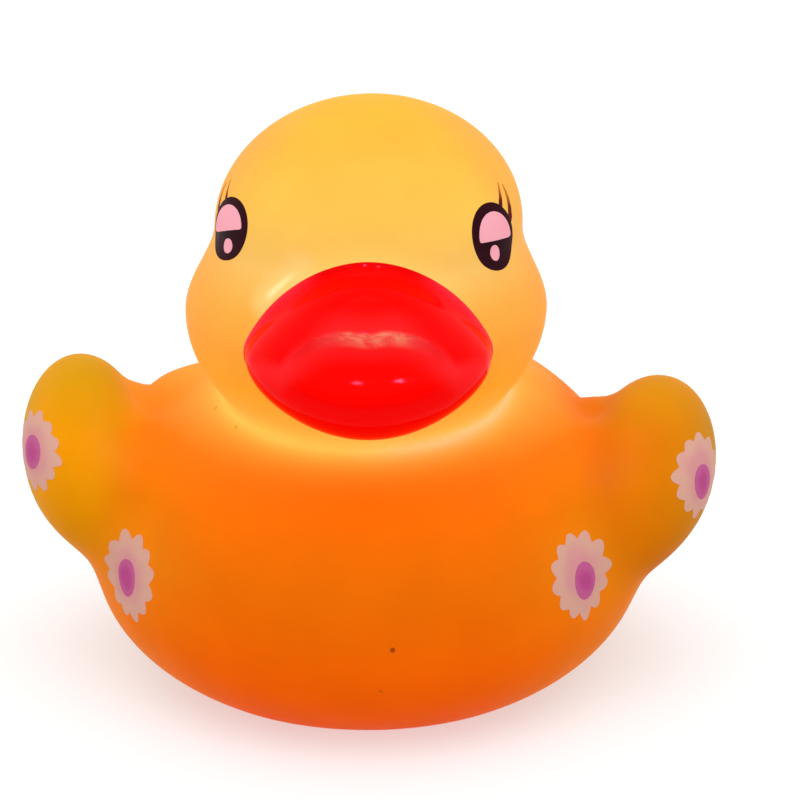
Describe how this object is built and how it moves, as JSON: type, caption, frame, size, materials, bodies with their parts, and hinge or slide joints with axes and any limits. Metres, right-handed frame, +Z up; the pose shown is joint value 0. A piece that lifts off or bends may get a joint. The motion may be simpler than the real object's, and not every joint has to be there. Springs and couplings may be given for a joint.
{
  "type": "light-up bath duck",
  "caption": "Hollow soft-vinyl bath duck with a red bill, printed eyes and daisies, standing on a flat base that holds a sealed water-switched light unit.",
  "frame": {"origin": "on the table plane, under the middle of the duck's outline", "axes": "+Z up, -Y towards the bill, +X towards the duck's left wing"},
  "size_m": [0.092, 0.0918, 0.0789],
  "materials": {
    "duck_vinyl": "satin soft vinyl, translucent yellow to orange, with a glossy red bill",
    "housing_plastic": "satin white moulding",
    "clear_plastic": "clear gloss moulding",
    "board_laminate": "green solder mask",
    "lamp_resin": "warm white lit resin",
    "chip_resin": "black resin drop",
    "cell_steel": "bright plated steel can",
    "strip_steel": "plain spring strip",
    "pin_brass": "bright turned brass"
  },
  "bodies": {
    "root": {"duck_shell": "duck_vinyl", "light_housing": "housing_plastic", "light_cover": "clear_plastic", "circuit_board": "board_laminate", "led": "lamp_resin", "control_chip": "chip_resin", "cell_lower": "cell_steel", "cell_middle": "cell_steel", "cell_upper": "cell_steel", "negative_clip": "strip_steel", "positive_clip": "strip_steel", "contact_pin_left": "pin_brass", "contact_pin_right": "pin_brass"}
  },
  "joints": []
}
